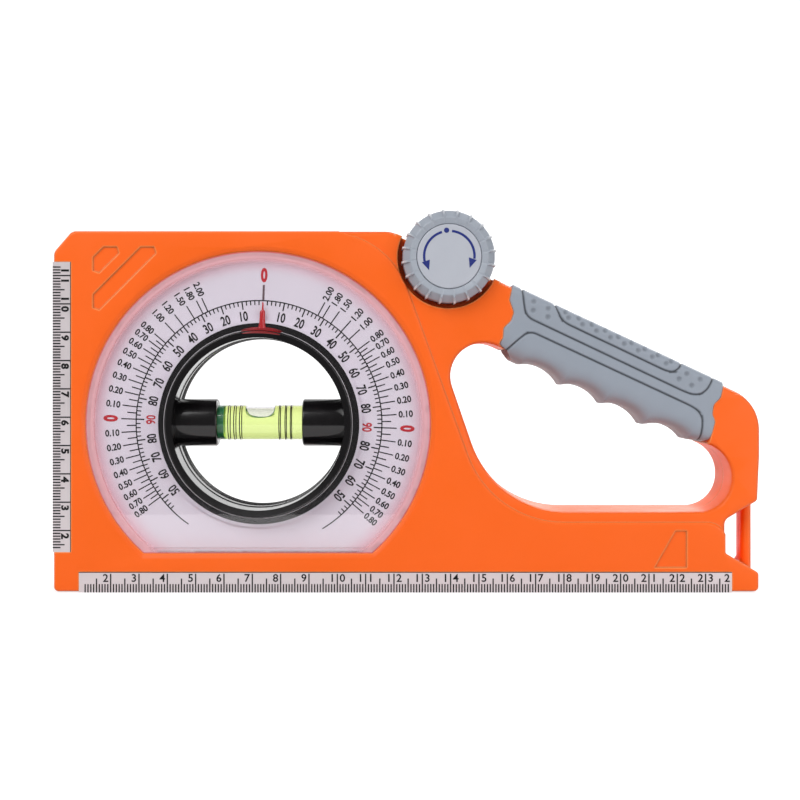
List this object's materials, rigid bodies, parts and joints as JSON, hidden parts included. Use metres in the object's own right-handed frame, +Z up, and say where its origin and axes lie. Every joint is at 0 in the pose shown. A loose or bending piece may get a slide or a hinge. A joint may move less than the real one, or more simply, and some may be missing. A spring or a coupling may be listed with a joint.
{
  "type": "inclinometer",
  "caption": "Flat moulded inclinometer with a vial in a knob-turned ring, a protractor dial, ruler edges and a slanted gripped side handle.",
  "frame": {"origin": "middle of the base, on the surface the tool stands on, half way through the depth over the knob", "axes": "+X along the base towards the handle, +Z up, -Y the way the dial faces"},
  "size_m": [0.25, 0.031, 0.135],
  "materials": {
    "shell": "satin moulded",
    "dial": "smooth printed",
    "clear": "clear",
    "steel": "plain",
    "rail": "satin with printed ruler",
    "grip": "soft matte",
    "black": "glossy",
    "gear": "natural",
    "red": "glossy",
    "liquid": "clear liquid",
    "green": "smooth",
    "knob": "satin",
    "cap": "satin printed"
  },
  "bodies": {
    "housing": {"front_shell": "shell", "rear_shell": "shell", "dial_plate": "dial", "window": "clear", "dial_screws": "steel", "housing_screws": "steel", "left_rail": "rail", "bottom_rail": "rail", "front_grip": "grip", "rear_grip": "grip", "rear_bearing_ring": "black", "idler_pin": "steel", "friction_washer": "steel"},
    "carrier": {"vial_carrier": "black", "carrier_gear": "gear", "pointer": "red", "vial_tube": "clear", "vial_liquid": "liquid", "vial_plug": "green"},
    "idler": {"idler_gear": "gear"},
    "knob_assembly": {"knob": "knob", "knob_cap": "cap", "knob_screw": "steel", "knob_shaft": "steel", "knob_pinion": "gear"}
  },
  "joints": [
    {"name": "carrier_spin", "type": "hinge", "parent": "housing", "child": "carrier", "pos_m": [-0.0525, 0.0025, 0.0595], "axis": [0, 1, 0], "continuous": true},
    {"name": "idler_spin", "type": "hinge", "parent": "housing", "child": "idler", "pos_m": [-0.00688, 0.0025, 0.09943], "axis": [0, 1, 0], "continuous": true},
    {"name": "knob_spin", "type": "hinge", "parent": "housing", "child": "knob_assembly", "pos_m": [0.01475, 0.0025, 0.11837], "axis": [0, 1, 0], "continuous": true}
  ],
  "couplings": [
    {"joint": "idler_spin", "follows": "carrier_spin", "ratio": -1.9394},
    {"joint": "knob_spin", "follows": "carrier_spin", "ratio": 4.9231}
  ]
}
